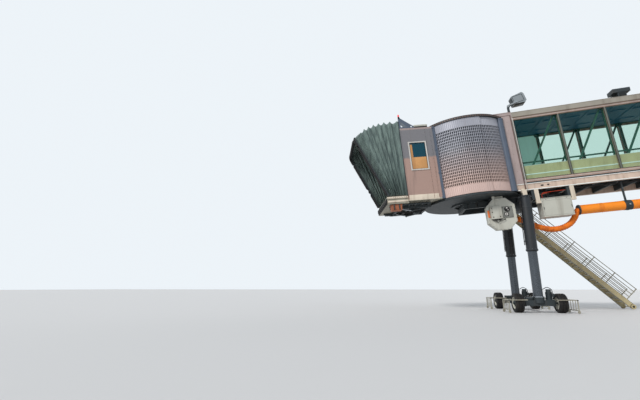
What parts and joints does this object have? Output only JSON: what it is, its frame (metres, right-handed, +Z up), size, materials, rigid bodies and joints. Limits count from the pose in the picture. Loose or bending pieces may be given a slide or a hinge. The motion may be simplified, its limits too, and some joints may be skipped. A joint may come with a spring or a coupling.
{
  "type": "radial-drive glazed passenger boarding bridge",
  "caption": "Glazed, trussed airport boarding bridge with a turning slatted cab, folding canopy, service stair, and lift columns on wheeled axle beams.",
  "frame": {"origin": "centre of the underside of the rotunda column's base plate, at ground level", "axes": "+X from the cab to the terminal, -Y the side without the stair, +Z up"},
  "size_m": [24.859, 5.4548, 9.9468],
  "materials": {
    "galvanised": "dull zinc",
    "cream_paint": "satin",
    "dark_steel": "satin",
    "green_paint": "satin",
    "olive_paint": "satin",
    "glazing": "tinted",
    "grey_paint": "satin",
    "warm_grey_paint": "satin",
    "slate_paint": "satin",
    "perforated_curtain": "satin",
    "orange_paint": "satin",
    "flexible_hose": "matte",
    "bare_steel": "ground",
    "yellow_paint": "worn",
    "tyre_rubber": "matte",
    "canopy_fabric": "coated cloth"
  },
  "bodies": {
    "base": {"base_plate": "grey_paint", "rotunda_column": "grey_paint", "rotunda_floor": "grey_paint", "rotunda_roof": "grey_paint", "terminal_portal": "grey_paint", "rotunda_curtains": "perforated_curtain"},
    "swing_frame": {"hinge_portal": "grey_paint", "sliding_curtains": "perforated_curtain", "slew_arm": "dark_steel"},
    "tunnel": {"side_beams": "cream_paint", "cross_members": "dark_steel", "tunnel_floor": "grey_paint", "tunnel_roof": "cream_paint", "near_frame": "cream_paint", "far_frame": "cream_paint", "near_glass": "glazing", "far_glass": "glazing", "near_truss": "green_paint", "far_truss": "green_paint", "handrails": "green_paint", "wainscots": "olive_paint", "hinge_collar": "grey_paint", "cab_portal": "warm_grey_paint", "drum_posts": "slate_paint", "roof_transition": "cream_paint", "inner_curtains": "perforated_curtain", "cab_bearer": "dark_steel", "hangers": "cream_paint", "service_door": "grey_paint", "landing": "galvanised", "landing_rails": "galvanised", "drum_housing": "grey_paint", "equipment_box": "grey_paint", "pipe_run": "orange_paint", "pipe_clamps": "dark_steel", "hose": "flexible_hose", "lamp": "dark_steel", "roof_unit": "dark_steel"},
    "lift_frame": {"lift_tubes": "dark_steel"},
    "bogie": {"inner_tubes": "bare_steel", "axle_beams": "dark_steel", "wheel_guards": "yellow_paint"},
    "near_wheel_set": {"near_wheels": "tyre_rubber"},
    "far_wheel_set": {"far_wheels": "tyre_rubber"},
    "stair": {"stair_stringers": "galvanised", "stair_treads": "galvanised", "stair_rails": "galvanised"},
    "cab": {"cab_discs": "dark_steel", "cab_floor": "grey_paint", "cab_underframe": "dark_steel", "cab_walls": "warm_grey_paint", "cab_windows": "glazing", "cab_posts": "slate_paint", "cab_curtains": "perforated_curtain", "cab_roof": "cream_paint", "cab_gussets": "slate_paint", "canopy_frame": "dark_steel", "canopy_bellows": "canopy_fabric"},
    "canopy": {"canopy_hoop": "dark_steel"}
  },
  "joints": [
    {"name": "swing", "type": "hinge", "parent": "base", "child": "swing_frame", "pos_m": [0, 0, 6.04], "axis": [0, 0, 1], "range_deg": [-28, 28]},
    {"name": "lift", "type": "hinge", "parent": "swing_frame", "child": "tunnel", "pos_m": [-2.15, 0, 6.04], "axis": [0, 1, 0], "range_deg": [-2.9, 2]},
    {"name": "column_tilt", "type": "hinge", "parent": "tunnel", "child": "lift_frame", "pos_m": [-14.21649, 0, 5.00349], "axis": [0, 1, 0], "range_deg": [-2.1, 3]},
    {"name": "column_slide", "type": "slide", "parent": "lift_frame", "child": "bogie", "axis": [0, 0, 1], "range_m": [-0.43, 0.62]},
    {"name": "near_wheel_spin", "type": "hinge", "parent": "bogie", "child": "near_wheel_set", "pos_m": [-14.21649, -1.48, 0.38], "axis": [1, 0, 0], "continuous": true},
    {"name": "far_wheel_spin", "type": "hinge", "parent": "bogie", "child": "far_wheel_set", "pos_m": [-14.21649, 1.48, 0.38], "axis": [1, 0, 0], "continuous": true},
    {"name": "stair_pitch", "type": "hinge", "parent": "tunnel", "child": "stair", "pos_m": [-14.19519, 2.63, 5.3961], "axis": [0, 1, 0], "range_deg": [-3.9, 2.8]},
    {"name": "cab_turn", "type": "hinge", "parent": "tunnel", "child": "cab", "pos_m": [-16.17224, 0, 5.01027], "axis": [-0.0732, 0, 0.9973], "range_deg": [-28, 28]},
    {"name": "canopy_fold", "type": "hinge", "parent": "cab", "child": "canopy", "pos_m": [-20.28713, -0.79758, 5.01893], "axis": [-0.1903, 0.9816, -0.014], "range_deg": [0, 18], "deforming": ["canopy_bellows"]}
  ],
  "couplings": [
    {"joint": "column_tilt", "follows": "lift", "ratio": -1},
    {"joint": "column_slide", "follows": "lift", "m_per_rad": -12.066},
    {"joint": "stair_pitch", "follows": "lift", "ratio": 1.309}
  ]
}
